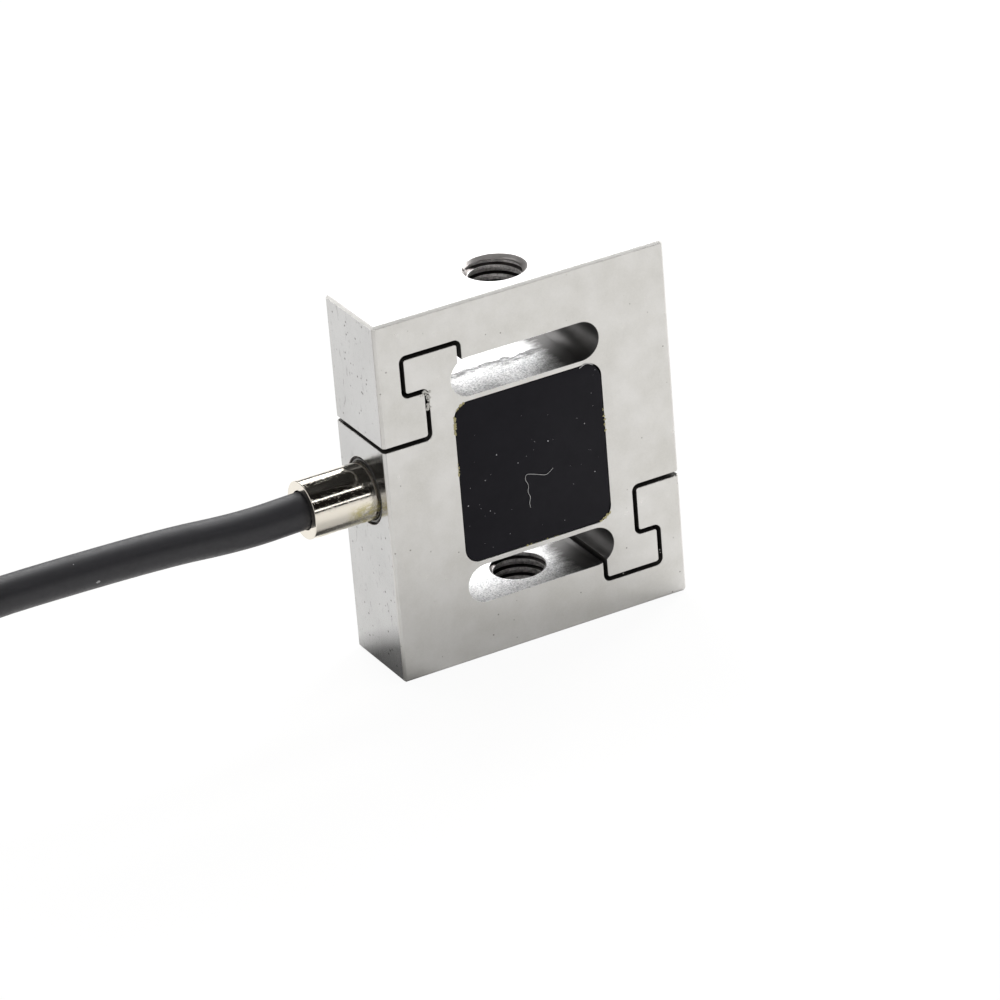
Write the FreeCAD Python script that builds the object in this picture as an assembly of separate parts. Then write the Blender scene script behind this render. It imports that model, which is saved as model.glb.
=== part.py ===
import FreeCAD, Part
import math
import os

# S-type load cell: a one-piece steel spring element with two windows, two hooked
# slits and a gauge pocket in each face, and a screened cable that leaves its left side.
# Millimetres. The origin is the middle of the bottom face: X runs along the width,
# Y from the front face (-Y) to the rear face (+Y), and Z up along the load axis.

# Spring element: one block of stainless steel
BODY_WIDTH = 51.0
BODY_HEIGHT = 61.0
BODY_THICK = 15.5
EDGE_CHAMFER = 0.4

# Gauge pocket in each face, with the web that carries the gauges between the two
POCKET_WIDTH = 26.0
POCKET_HEIGHT = 27.5
POCKET_CORNER = 2.5
WEB_THICK = 2.0
WEB_HOLE = 2.8  # passage for the wires that join the two halves of the bridge

# Windows: two obround slots milled right through, above and below the gauge pockets
WINDOW_LENGTH = 26.0
WINDOW_HEIGHT = 6.4
WINDOW_WALL = 0.85  # wall left between a window and the pockets

# Hooked slits, cut by wire: each runs in from a side face, round a hook that stops the
# travel at overload, and into a window. The left slit's centreline is given; the right
# one is the same turned half round about the middle of the block.
SLIT_WIDTH = 0.75
SLIT_CORNER = 0.8
SLIT_ENTRY_RISE = 9.6  # above the middle of the block
SLIT_NECK_DEPTH = 8.2  # in from the side face
SLIT_HEAD_DEPTH = 4.35  # in from the side face
SLIT_HEAD_HEIGHT = 6.4
SLIT_HEAD_COVER = 6.45  # below the top face
SLIT_DROP_INSET = 1.8  # in from the window's end

# Load threads, M10 x 1.5, one in the top face and one in the bottom face
THREAD_NOMINAL = 10.0
THREAD_PITCH = 1.5
THREAD_MOUTH_DIAMETER = 10.25  # diameter of the countersink at the face

# Cable entry in the middle of the left face
ENTRY_RECESS_DIAMETER = 11.0
ENTRY_RECESS_DEPTH = 1.0
FERRULE_DIAMETER = 9.4
FERRULE_PROUD = 11.0
FERRULE_SEAT = 8.0  # depth of its bore in the block
FERRULE_FIT = 0.05  # clearance all round in the bore
FERRULE_EDGE = 0.15
WIRE_CHANNEL = 6.5
CHANNEL_OVERRUN = 0.3
SEAL_THICK = 0.5
SEAL_CLEARANCE = 0.05

# Signal cable: four cores in a screen, under a black jacket
CABLE_DIAMETER = 6.0
CABLE_FIT = 0.05  # clearance all round in the ferrule
CABLE_INSIDE = 6.5  # reach of the jacket past the side face
CORE_DIAMETER = 0.9
CORE_PITCH = 1.05
CORE_COLOURS = ("red", "black", "green", "white")
CORE_OVERLAP = 2.0  # length of each core over the front board

# Cover pads of black sheet over the potted pockets, flush with the faces
PAD_THICK = 1.5
PAD_CLEARANCE = 0.1

# Foil gauges: two grids at 45 degrees on one carrier, on each side of the web
CARRIER_LENGTH = 9.4
CARRIER_HEIGHT = 5.4
CARRIER_THICK = 0.15
GRID_STRANDS = 7
GRID_PITCH = 0.45
GRID_LINE = 0.22
GRID_LENGTH = 3.2
GRID_THICK = 0.08
GRID_OFFSET = 2.3

# Terminal boards with their solder joints, trimming resistors and fine wires
BOARD_WIDTH = 5.4
BOARD_LENGTH = 15.0
BOARD_THICK = 0.5
BOARD_INSET = 0.9  # from the pocket's left wall
SOLDER_WIDTH = 0.8
SOLDER_TOP = 0.4
SOLDER_HEIGHT = 0.5
SOLDER_GAP = 0.2
RESISTOR_LENGTH = 2.6
RESISTOR_WIDTH = 1.3
RESISTOR_HEIGHT = 0.9
RESISTOR_RISE = 5.4  # above and below the middle of the board
WIRE_COUNT = 4  # to each gauge, and between the two boards
FINE_WIRE = 0.4
FINE_WIRE_PITCH = 0.6
LOOP_RISE = 3.0  # rise of the bridging wires above the boards
FILL_GAP = 0.1  # between the fill and what it covers

# Route of the cable from the ferrule to the hank: level for the first stretch, then
# down to the surface that the cell stands on.
ROUTE_OUT = (
    (-36.5, 0.0, 30.5),
    (-47.0, 0.0, 30.15),
    (-62.0, 0.0, 31.7),
    (-104.0, 1.2, 31.6),
    (-137.0, 21.6, 6.2),
    (-149.5, 24.3, 3.6),
    (-168.0, 24.3, 3.6),
)
# Route of the last stretch, from the hank back towards the cell
ROUTE_TAIL = (
    (-168.0, -24.3, 9.6),
    (-148.0, -24.3, 7.2),
    (-136.0, -20.6, 4.2),
)
BEND_SHARE = 0.45  # share of the shorter run that a bend takes up

# Hank: the rest of the cable, wound in flat turns and tied round its waist
HANK_LENGTH = 104.0
HANK_END_WIDTH = 54.6
HANK_WAIST = 40.6
HANK_ABREAST = 2
HANK_LAYERS = 4
HANK_CENTRE = -198.0  # along X
TIE_WIDTH = 4.0
TIE_THICK = 0.5
TIE_CLEARANCE = 0.1
TIE_TAIL = 15.0
TIE_TAIL_DIAMETER = 1.8
TIE_TAIL_SIDE = -15.0  # along Y

# Stripped end: sleeve over the jacket's end, four leads and the screen's drain wire
SLEEVE_LENGTH = 9.0
SLEEVE_BEYOND = 3.5  # reach past the jacket's end
SLEEVE_WALL = 0.4
SLEEVE_FIT = 0.05
LEAD_DIAMETER = 1.3
LEAD_OFFSET = 0.95  # from the cable's axis, each way, where the leads leave the jacket
DRAIN_DIAMETER = 0.8
TIP_LENGTH = 5.0
TIP_DIAMETER = 0.8
# Where the leads and the drain wire go after the sleeve, down to the surface
LEAD_ROUTES = {
    "red": ((-126.9, -19.4, 1.6), (-119.5, -18.9, 0.8), (-111.5, -19.3, 0.7)),
    "black": ((-127.1, -16.4, 1.7), (-120.0, -13.4, 0.8), (-112.2, -9.6, 0.7)),
    "green": ((-127.3, -15.6, 3.4), (-120.9, -10.8, 1.3), (-114.9, -4.6, 0.8)),
    "white": ((-127.0, -20.1, 3.6), (-119.8, -21.8, 1.3), (-112.6, -24.6, 0.8)),
}
DRAIN_ROUTE = ((-127.0, -17.9, 2.8), (-119.6, -16.1, 0.8), (-111.0, -15.0, 0.45))

CENTRE_Z = BODY_HEIGHT / 2
FRONT_Y = -BODY_THICK / 2
LEFT_X = -BODY_WIDTH / 2
WEB_Y = -WEB_THICK / 2  # front side of the web
BEYOND = 2.0  # overrun of cutting shapes past a face
TINY = 1e-6
MITRED = 1  # way of joining the runs of a sweep


def vec(x, y, z):
    return FreeCAD.Vector(x, y, z)


def save(name, shape):
    shape.exportStep(os.path.join("parts", name + ".step"))


# Outlines are drawn in the XZ plane, and plates stand between two values of Y.


def bend_edges(points, radii, closed):
    """Straight lines along the points, with each corner rounded to its radius."""
    count = len(points)
    bends = []
    for i in range(count) if closed else range(1, count - 1):
        before, corner, after = points[i - 1], points[i], points[(i + 1) % count]
        inward = (before - corner).normalize()
        outward = (after - corner).normalize()
        half = (math.pi - inward.getAngle(outward)) / 2
        cut = radii[i] * math.tan(half)
        middle = (inward + outward).normalize()
        top = corner + middle * (radii[i] / math.cos(half) - radii[i])
        bends.append((corner + inward * cut, top, corner + outward * cut))
    last = bends[-1][2] if closed else points[0]
    edges = []
    for enter, top, leave in bends:
        if last.distanceToPoint(enter) > TINY:
            edges.append(Part.LineSegment(last, enter).toShape())
        if enter.distanceToPoint(leave) > TINY:
            edges.append(Part.Arc(enter, top, leave).toShape())
        last = leave
    if not closed:
        edges.append(Part.LineSegment(last, points[-1]).toShape())
    return edges


def rounded_rectangle(width, height, corner, x, z):
    """A rectangle with round corners about (x, z), as a wire in the XZ plane."""
    half_w, half_h = width / 2, height / 2
    signs = ((-1, -1), (1, -1), (1, 1), (-1, 1))
    points = [vec(x + half_w * i, 0, z + half_h * k) for i, k in signs]
    return Part.Wire(bend_edges(points, [corner] * 4, True))


def ribbon(points, corner, width):
    """The outline of a strip of even width about a bent centreline, as a wire. A corner of 0 is sharp."""
    half = width / 2
    sides = []
    for side in (1, -1):
        line = []
        radii = []
        for i, point in enumerate(points):
            ahead = points[min(i + 1, len(points) - 1)] - points[min(i, len(points) - 2)]
            behind = points[max(i, 1)] - points[max(i - 1, 0)]
            left_a = vec(-ahead.z, 0, ahead.x).normalize()
            left_b = vec(-behind.z, 0, behind.x).normalize()
            turn = behind.x * ahead.z - behind.z * ahead.x
            shift = (left_a + left_b) * (half / (1 + left_a.dot(left_b)))
            line.append(point + shift * side)
            radii.append(corner - math.copysign(half, turn * side) if corner else 0)
        sides.append((line, bend_edges(line, radii, False)))
    (left, left_edges), (right, right_edges) = sides
    caps = [
        Part.LineSegment(left[-1], right[-1]).toShape(),
        Part.LineSegment(right[0], left[0]).toShape(),
    ]
    return Part.Wire(Part.__sortEdges__(left_edges + right_edges + caps))


def plate(wire, y_from, y_to):
    face = Part.Face(wire)
    face.translate(vec(0, y_from, 0))
    return face.extrude(vec(0, y_to - y_from, 0))


def box(x_from, x_to, y_from, y_to, z_from, z_to):
    low = vec(min(x_from, x_to), min(y_from, y_to), min(z_from, z_to))
    sizes = abs(x_to - x_from), abs(y_to - y_from), abs(z_to - z_from)
    return Part.makeBox(*sizes, low)


def rod(radius, start, length, direction):
    return Part.makeCylinder(radius, length, start, direction)


def to_rear(shape):
    return shape.mirror(vec(0, 0, 0), vec(0, 1, 0))


def tube(points, diameter):
    """A round tube along straight runs with tangent arcs, and the radii of its bends."""
    corners = [vec(*p) for p in points]
    radii = [0.0] * len(corners)
    for i in range(1, len(corners) - 1):
        before, after = corners[i] - corners[i - 1], corners[i + 1] - corners[i]
        shorter = min(before.Length, after.Length)
        radii[i] = BEND_SHARE * shorter / math.tan(before.getAngle(after) / 2)
    path = Part.Wire(bend_edges(corners, radii, False))
    ring = Part.makeCircle(diameter / 2, corners[0], corners[1] - corners[0])
    solid = path.makePipeShell([Part.Wire(ring)], True, False)
    return solid, path, radii[1:-1]


def thin_wire(points, diameter):
    """A thin round wire along straight runs, mitred where they meet."""
    corners = [vec(*p) for p in points]
    ring = Part.makeCircle(diameter / 2, corners[0], corners[1] - corners[0])
    return Part.makePolygon(corners).makePipeShell([Part.Wire(ring)], True, False, MITRED)


# Spring element


def window_rise():
    """Height of the upper window's middle above the middle of the block."""
    return POCKET_HEIGHT / 2 + WINDOW_WALL + WINDOW_HEIGHT / 2


def slit_path():
    """Centreline of the left slit, from outside the side face into the upper window."""
    entry_z = CENTRE_Z + SLIT_ENTRY_RISE
    top_z = BODY_HEIGHT - SLIT_HEAD_COVER
    neck_z = top_z - SLIT_HEAD_HEIGHT
    neck_x = LEFT_X + SLIT_NECK_DEPTH
    head_x = LEFT_X + SLIT_HEAD_DEPTH
    drop_x = -WINDOW_LENGTH / 2 + SLIT_DROP_INSET
    return [
        vec(LEFT_X - BEYOND, 0, entry_z),
        vec(neck_x, 0, entry_z),
        vec(neck_x, 0, neck_z),
        vec(head_x, 0, neck_z),
        vec(head_x, 0, top_z),
        vec(drop_x, 0, top_z),
        vec(drop_x, 0, CENTRE_Z + window_rise()),
    ]


def thread_cut(face_z, into):
    """Tapping hole with its countersink, from a face into the window behind it."""
    drill = (THREAD_NOMINAL - THREAD_PITCH) / 2
    mouth = THREAD_MOUTH_DIAMETER / 2
    depth = mouth - drill
    wall = CENTRE_Z - window_rise()
    hole = rod(drill, vec(0, 0, face_z - into * BEYOND), wall + BEYOND, vec(0, 0, into))
    sink = Part.makeCone(mouth, drill, depth, vec(0, 0, face_z), vec(0, 0, into))
    return hole.fuse(sink)


def cable_entry_cut():
    """Stepped bore from the left face to the pockets."""
    along = vec(1, 0, 0)
    face = vec(LEFT_X, 0, CENTRE_Z)
    start = face - along * BEYOND
    recess = rod(ENTRY_RECESS_DIAMETER / 2, start, ENTRY_RECESS_DEPTH + BEYOND, along)
    seat = rod(FERRULE_DIAMETER / 2 + FERRULE_FIT, face, FERRULE_SEAT, along)
    reach = BODY_WIDTH / 2 - POCKET_WIDTH / 2 + CHANNEL_OVERRUN
    channel = rod(WIRE_CHANNEL / 2, face, reach, along)
    return recess.fuse([seat, channel])


def spring_element():
    block = box(LEFT_X, -LEFT_X, FRONT_Y, -FRONT_Y, 0, BODY_HEIGHT)
    block = block.makeChamfer(EDGE_CHAMFER, block.Edges)
    through = (FRONT_Y - BEYOND, -FRONT_Y + BEYOND)
    cuts = []
    for side in (1, -1):
        z = CENTRE_Z + side * window_rise()
        window = rounded_rectangle(WINDOW_LENGTH, WINDOW_HEIGHT, WINDOW_HEIGHT / 2, 0, z)
        cuts.append(plate(window, *through))
        slit = plate(ribbon(slit_path(), SLIT_CORNER, SLIT_WIDTH), *through)
        if side < 0:
            slit.rotate(vec(0, 0, CENTRE_Z), vec(0, 1, 0), 180)
        cuts.append(slit)
        pocket = rounded_rectangle(POCKET_WIDTH, POCKET_HEIGHT, POCKET_CORNER, 0, CENTRE_Z)
        cuts.append(plate(pocket, side * WEB_THICK / 2, side * (BODY_THICK / 2 + BEYOND)))
    cuts.append(thread_cut(BODY_HEIGHT, -1))
    cuts.append(thread_cut(0, 1))
    cuts.append(cable_entry_cut())
    hole_at = vec(board_middle_x(), WEB_Y - BEYOND, loop_z())
    cuts.append(rod(WEB_HOLE / 2, hole_at, WEB_THICK + 2 * BEYOND, vec(0, 1, 0)))
    for cut in cuts:
        block = block.cut(cut)
    return block


# Cover pads


def cover_pad():
    width, height = POCKET_WIDTH - 2 * PAD_CLEARANCE, POCKET_HEIGHT - 2 * PAD_CLEARANCE
    corner = POCKET_CORNER - PAD_CLEARANCE
    return plate(rounded_rectangle(width, height, corner, 0, CENTRE_Z), FRONT_Y, FRONT_Y + PAD_THICK)


# Gauges, boards and wiring on the front side of the web. The rear is its mirror image.


def gauge_carrier():
    x, z = CARRIER_LENGTH / 2, CARRIER_HEIGHT / 2
    return box(-x, x, WEB_Y - CARRIER_THICK, WEB_Y, CENTRE_Z - z, CENTRE_Z + z)


def gauge_grids():
    """Two folded foil lines, turned 45 degrees each way."""
    width = GRID_PITCH * (GRID_STRANDS - 1)
    points = []
    for strand in range(GRID_STRANDS):
        ends = (-GRID_LENGTH / 2, GRID_LENGTH / 2)
        for end in ends if strand % 2 == 0 else reversed(ends):
            points.append(vec(strand * GRID_PITCH - width / 2, 0, end))
    outer = WEB_Y - CARRIER_THICK
    grids = []
    for side in (1, -1):
        grid = plate(ribbon(points, 0, GRID_LINE), outer - GRID_THICK, outer)
        grid.rotate(vec(0, 0, 0), vec(0, 1, 0), side * 45)
        grid.translate(vec(side * GRID_OFFSET, 0, CENTRE_Z))
        grids.append(grid)
    return Part.makeCompound(grids)


def board_left_x():
    return -POCKET_WIDTH / 2 + BOARD_INSET


def board_middle_x():
    return board_left_x() + BOARD_WIDTH / 2


def loop_z():
    return CENTRE_Z + BOARD_LENGTH / 2 + LOOP_RISE


def terminal_board():
    left = board_left_x()
    half = BOARD_LENGTH / 2
    outer = WEB_Y - BOARD_THICK
    return box(left, left + BOARD_WIDTH, outer, WEB_Y, CENTRE_Z - half, CENTRE_Z + half)


def rows(count, pitch):
    return [(i - (count - 1) / 2) * pitch for i in range(count)]


def cores():
    """The four insulated cores, from the jacket's end to the front board."""
    start_x = LEFT_X + CABLE_INSIDE
    end_x = board_left_x() + CORE_OVERLAP
    y = WEB_Y - BOARD_THICK - CORE_DIAMETER / 2
    return {
        colour: rod(CORE_DIAMETER / 2, vec(start_x, y, CENTRE_Z + rise), end_x - start_x, vec(1, 0, 0))
        for colour, rise in zip(CORE_COLOURS, rows(len(CORE_COLOURS), CORE_PITCH))
    }


def solder_joint(x, z):
    """A low mound on the front of the board."""
    wide, top = SOLDER_WIDTH / 2, SOLDER_TOP / 2
    mound = Part.makeWedge(-top, -SOLDER_HEIGHT, -top, -wide, -wide, top, 0, top, wide, wide)
    mound.translate(vec(x, WEB_Y - BOARD_THICK, z))
    return mound


def core_joints():
    x = board_left_x() + CORE_OVERLAP + SOLDER_WIDTH / 2 + SOLDER_GAP
    return [solder_joint(x, CENTRE_Z + rise) for rise in rows(len(CORE_COLOURS), CORE_PITCH)]


def gauge_joints():
    x = board_left_x() + BOARD_WIDTH - SOLDER_WIDTH / 2 - SOLDER_GAP
    pitch = SOLDER_WIDTH + SOLDER_GAP
    return [solder_joint(x, CENTRE_Z + rise) for rise in rows(WIRE_COUNT, pitch)]


def gauge_wires():
    """Flat fine wires along the web, from the board's edge to the gauge's edge."""
    start, end = board_left_x() + BOARD_WIDTH, -CARRIER_LENGTH / 2
    half = FINE_WIRE / 2
    wires = []
    for rise in rows(WIRE_COUNT, FINE_WIRE_PITCH):
        z = CENTRE_Z + rise
        wires.append(box(start, end, WEB_Y - FINE_WIRE, WEB_Y, z - half, z + half))
    return Part.makeCompound(wires)


def bridge_wires():
    """Fine wires from the front board, through the web's hole, to the rear board."""
    half = FINE_WIRE / 2
    reach = half - WEB_Y
    low, high = CENTRE_Z + BOARD_LENGTH / 2, loop_z()
    path = [vec(-reach, 0, low), vec(-reach, 0, high), vec(reach, 0, high), vec(reach, 0, low)]
    wires = []
    for shift in rows(WIRE_COUNT, FINE_WIRE_PITCH):
        wire = plate(ribbon(path, 0, FINE_WIRE), -half, half)
        wire.rotate(vec(0, 0, 0), vec(0, 0, 1), 90)
        wire.translate(vec(board_middle_x() + shift, 0, 0))
        wires.append(wire)
    return Part.makeCompound(wires)


def resistors():
    outer = WEB_Y - BOARD_THICK
    x, half = board_middle_x(), RESISTOR_LENGTH / 2
    made = []
    for side in (1, -1):
        z = CENTRE_Z + side * RESISTOR_RISE
        low = outer - RESISTOR_HEIGHT
        made.append(box(x - RESISTOR_WIDTH / 2, x + RESISTOR_WIDTH / 2, low, outer, z - half, z + half))
    return Part.makeCompound(made)


def potting():
    """The soft fill of the front pocket, with room for the board, the gauge and their wires."""
    fill = rounded_rectangle(POCKET_WIDTH, POCKET_HEIGHT, POCKET_CORNER, 0, CENTRE_Z)
    board_deep = BOARD_THICK + max(CORE_DIAMETER, RESISTOR_HEIGHT, SOLDER_HEIGHT) + FILL_GAP
    board_right = board_left_x() + BOARD_WIDTH + FILL_GAP
    board_low = CENTRE_Z - BOARD_LENGTH / 2 - FILL_GAP
    wires_high = loop_z() + max(WEB_HOLE, FINE_WIRE) / 2 + FILL_GAP
    over_board = box(-POCKET_WIDTH / 2, board_right, WEB_Y - board_deep, WEB_Y, board_low, wires_high)
    gauge_deep = max(FINE_WIRE, CARRIER_THICK + GRID_THICK) + FILL_GAP
    gauge_right = CARRIER_LENGTH / 2 + FILL_GAP
    half = CARRIER_HEIGHT / 2 + FILL_GAP
    low, high = CENTRE_Z - half, CENTRE_Z + half
    over_gauge = box(board_right, gauge_right, WEB_Y - gauge_deep, WEB_Y, low, high)
    return plate(fill, FRONT_Y + PAD_THICK, WEB_Y).cut([over_board, over_gauge])


# Cable entry


def ferrule():
    inner_x = LEFT_X + FERRULE_SEAT
    length = FERRULE_PROUD + FERRULE_SEAT
    start = vec(inner_x - length, 0, CENTRE_Z)
    shell = rod(FERRULE_DIAMETER / 2, start, length, vec(1, 0, 0))
    mouth = [e for e in shell.Edges if e.Closed and abs(e.CenterOfMass.x - start.x) < TINY]
    shell = shell.makeChamfer(FERRULE_EDGE, mouth)
    return shell.cut(rod(CABLE_DIAMETER / 2 + CABLE_FIT, start, length, vec(1, 0, 0)))


def ferrule_seal():
    start = vec(LEFT_X + ENTRY_RECESS_DEPTH - SEAL_THICK, 0, CENTRE_Z)
    outer = rod(ENTRY_RECESS_DIAMETER / 2 - SEAL_CLEARANCE, start, SEAL_THICK, vec(1, 0, 0))
    return outer.cut(rod(FERRULE_DIAMETER / 2 + SEAL_CLEARANCE, start, SEAL_THICK, vec(1, 0, 0)))


# Hank


def bow_outline(length, end_width, waist, x):
    """A flat loop about (x, 0) with round ends, drawn in at the waist, as a wire."""
    end = end_width / 2
    reach = length / 2 - end
    side = (reach**2 + waist**2 / 4 - end**2) / (2 * end - waist)
    share = end / (end + side)
    join = vec(reach * (1 - share), (waist / 2 + side) * share, 0)
    edges = []
    for i in (1, -1):
        tip, middle = vec(i * length / 2, 0, 0), vec(0, i * waist / 2, 0)
        edges.append(Part.Arc(vec(i * join.x, join.y, 0), tip, vec(i * join.x, -join.y, 0)).toShape())
        edges.append(Part.Arc(vec(-join.x, i * join.y, 0), middle, vec(join.x, i * join.y, 0)).toShape())
    wire = Part.Wire(Part.__sortEdges__(edges))
    wire.translate(vec(x, 0, 0))
    return wire


def hank_bottom():
    return TIE_THICK + TIE_CLEARANCE


def hank_height():
    return HANK_LAYERS * CABLE_DIAMETER


def hank():
    outer = bow_outline(HANK_LENGTH, HANK_END_WIDTH, HANK_WAIST, HANK_CENTRE)
    wall = 2 * HANK_ABREAST * CABLE_DIAMETER
    eye = bow_outline(HANK_LENGTH - wall, HANK_END_WIDTH - wall, HANK_WAIST - wall, HANK_CENTRE)
    block, hole = [Part.Face(wire).extrude(vec(0, 0, hank_height())) for wire in (outer, eye)]
    solid = block.cut(hole)
    solid.translate(vec(0, 0, hank_bottom()))
    return solid


def hank_tie():
    """A flat tie round the waist, its two ends twisted together on top."""
    hole_w = HANK_WAIST + 4 * TIE_CLEARANCE
    hole_h = hank_height() + 2 * TIE_CLEARANCE
    z = TIE_THICK + hole_h / 2
    inner = rounded_rectangle(hole_w, hole_h, 0, 0, z)
    outer = rounded_rectangle(hole_w + 2 * TIE_THICK, hole_h + 2 * TIE_THICK, TIE_THICK, 0, z)
    band = plate(outer, -TIE_WIDTH / 2, TIE_WIDTH / 2).cut(plate(inner, -TIE_WIDTH / 2, TIE_WIDTH / 2))
    band.rotate(vec(0, 0, 0), vec(0, 0, 1), 90)
    band.translate(vec(HANK_CENTRE, 0, 0))
    tail_z = TIE_THICK + hole_h + TIE_TAIL_DIAMETER / 2
    start = vec(HANK_CENTRE, TIE_TAIL_SIDE, tail_z)
    return band.fuse(rod(TIE_TAIL_DIAMETER / 2, start, TIE_TAIL, vec(1, 0, 0)))


# Stripped end


def end_frame(points):
    """The end of a route, its direction there, and two directions across it."""
    end, before = vec(*points[-1]), vec(*points[-2])
    along = (end - before).normalize()
    across = vec(0, 0, 1).cross(along).normalize()
    return end, along, across, along.cross(across)


def strip_sleeve():
    end, along, _, _ = end_frame(ROUTE_TAIL)
    start = end - along * (SLEEVE_LENGTH - SLEEVE_BEYOND)
    inner = CABLE_DIAMETER / 2 + SLEEVE_FIT
    outer = rod(inner + SLEEVE_WALL, start, SLEEVE_LENGTH, along)
    return outer.cut(rod(inner, start, SLEEVE_LENGTH, along))


def leads():
    """Each lead's insulation, and the tinned tip that stands out of its end."""
    end, along, across, up = end_frame(ROUTE_TAIL)
    places = {"red": (-1, -1), "black": (1, -1), "green": (1, 1), "white": (-1, 1)}
    insulation = {}
    tips = []
    for colour, route in LEAD_ROUTES.items():
        i, k = places[colour]
        root = end + across * (i * LEAD_OFFSET) + up * (k * LEAD_OFFSET)
        points = [tuple(root), tuple(root + along * SLEEVE_BEYOND), *route]
        insulation[colour] = thin_wire(points, LEAD_DIAMETER)
        tip_end, tip_along, _, _ = end_frame(points)
        tips.append(rod(TIP_DIAMETER / 2, tip_end, TIP_LENGTH, tip_along))
    drain = [tuple(end), tuple(end + along * SLEEVE_BEYOND), *DRAIN_ROUTE]
    return insulation, Part.makeCompound(tips), thin_wire(drain, DRAIN_DIAMETER)


def cable_run(route, hank_solid, label):
    """One open stretch of the cable, ended against the hank."""
    solid, path, radii = tube(route, CABLE_DIAMETER)
    full = math.pi * (CABLE_DIAMETER / 2) ** 2 * path.Length
    print(label, "length %.1f" % path.Length, "radii", ["%.0f" % r for r in radii])
    print(label, "volume over section x length: %.4f" % (solid.Volume / full))
    return solid.cut(hank_solid)


def main():
    os.makedirs("parts", exist_ok=True)
    save("spring_element", spring_element())
    both_sides = {
        "cover_pad": cover_pad(),
        "potting": potting(),
        "gauge_carrier": gauge_carrier(),
        "gauge_grids": gauge_grids(),
        "gauge_wires": gauge_wires(),
        "terminal_board": terminal_board(),
    }
    for name, shape in both_sides.items():
        save("front_" + name, shape)
        save("rear_" + name, to_rear(shape))
    save("front_solder_joints", Part.makeCompound(core_joints() + gauge_joints()))
    save("rear_solder_joints", to_rear(Part.makeCompound(gauge_joints())))
    save("trim_resistors", resistors())
    save("bridge_wires", bridge_wires())
    for colour, core in cores().items():
        save("core_" + colour, core)

    save("cable_ferrule", ferrule())
    save("ferrule_seal", ferrule_seal())
    coil = hank()
    inside = rod(CABLE_DIAMETER / 2, vec(*ROUTE_OUT[0]), FERRULE_PROUD + CABLE_INSIDE, vec(1, 0, 0))
    save("signal_cable", inside.fuse(cable_run(ROUTE_OUT, coil, "outgoing")))
    save("cable_hank", coil)
    save("cable_tail", cable_run(ROUTE_TAIL, coil, "tail"))
    save("hank_tie", hank_tie())
    save("strip_sleeve", strip_sleeve())
    insulation, tips, drain = leads()
    for colour, lead in insulation.items():
        save("lead_" + colour, lead)
    save("lead_tips", tips)
    save("screen_drain", drain)


main()
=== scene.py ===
import math
import random

import bpy
from mathutils import Euler, Matrix, Vector


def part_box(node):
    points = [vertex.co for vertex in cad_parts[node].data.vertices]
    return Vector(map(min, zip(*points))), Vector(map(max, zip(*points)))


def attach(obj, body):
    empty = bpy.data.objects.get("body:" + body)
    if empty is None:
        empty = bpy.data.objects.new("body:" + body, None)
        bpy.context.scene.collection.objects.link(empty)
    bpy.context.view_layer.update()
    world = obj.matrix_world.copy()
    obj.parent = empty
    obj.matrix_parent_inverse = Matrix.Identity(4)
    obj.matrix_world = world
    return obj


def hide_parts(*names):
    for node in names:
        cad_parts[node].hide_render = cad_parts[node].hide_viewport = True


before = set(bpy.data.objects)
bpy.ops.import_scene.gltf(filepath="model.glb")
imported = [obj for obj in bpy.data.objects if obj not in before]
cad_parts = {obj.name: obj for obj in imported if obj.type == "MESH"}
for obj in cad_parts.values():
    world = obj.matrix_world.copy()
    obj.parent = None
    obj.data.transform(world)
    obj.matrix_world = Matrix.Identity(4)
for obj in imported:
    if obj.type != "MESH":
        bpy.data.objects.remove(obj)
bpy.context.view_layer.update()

# S-type load cell: a steel spring element with two windows, two hooked slits and a black
# sheet over each gauge pocket, with a black cable that leaves its left side through a
# nickel-plated ferrule. The frame is in metres, X along the width, Y to the rear and Z up.
# Sizes and places below are in millimetres unless they say otherwise, and angles in degrees.

MM = 0.001
NEAR = 1e-6  # metres
MERGE = 1e-7  # metres

# Block
HALF_WIDTH = 25.5
HALF_THICK = 7.75
HALF_HEIGHT = 30.5
TOP = 61.0
POCKET_HALF_WIDTH = 13.0
POCKET_HALF_HEIGHT = 13.75
CABLE_BORE_REACH = 5.6

# Load threads
THREAD_PITCH = 1.5
THREAD_TURNS = 8
THREAD_STEPS = 48  # facets of one turn
THREAD_BASES = {"top_cutter": 50.7, "bottom_cutter": -1.9}
# Radius and half width of the groove, from its mouth to its root
THREAD_SECTION = ((4.0, 0.671), (4.85, 0.18), (5.0, 0.05))
CREST_RADIUS, ROOT_RADIUS = 4.34, 4.78  # painted bright as highlight lines inside the first and outside the second
HIGHLIGHT_FADE = 0.06
MOUTH_RADIUS = 5.2

# Windows, from the middle of the block
WINDOW_LENGTH = 26.0
WINDOW_HEIGHT = 6.4
WINDOW_RISE = 17.8
# Their walls, from where a finish begins to where it is full: the end painted dark as shade along X, the
# scraped line and the smooth part behind it along Y, and along Z the upper window, which alone has both
WALL_PAINTED_SHADE, WALL_SCRAPED, WALL_SMOOTH, WALL_UPPER = (6.0, 9.5), (1.1, 2.2), (2.6, 3.2), (30, 31)

# Cover pads: how far out a corner lies as a share of the size, and for each corner, to the
# right and upwards, its radius and how many facets it has
PAD_CORNER_SHARE = 0.35
PAD_CORNERS = {(-1, 1): (2.6, 8), (-1, -1): (2.45, 8), (1, -1): (2.7, 3), (1, 1): (2.75, 4)}

# Cable entry
FERRULE_RADIUS = 4.7
FERRULE_BORE = 3.14
ENTRY_RADIUS = 5.5
SEAL_RADIUS, SEAL_THICK = 4.99, 0.26
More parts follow.
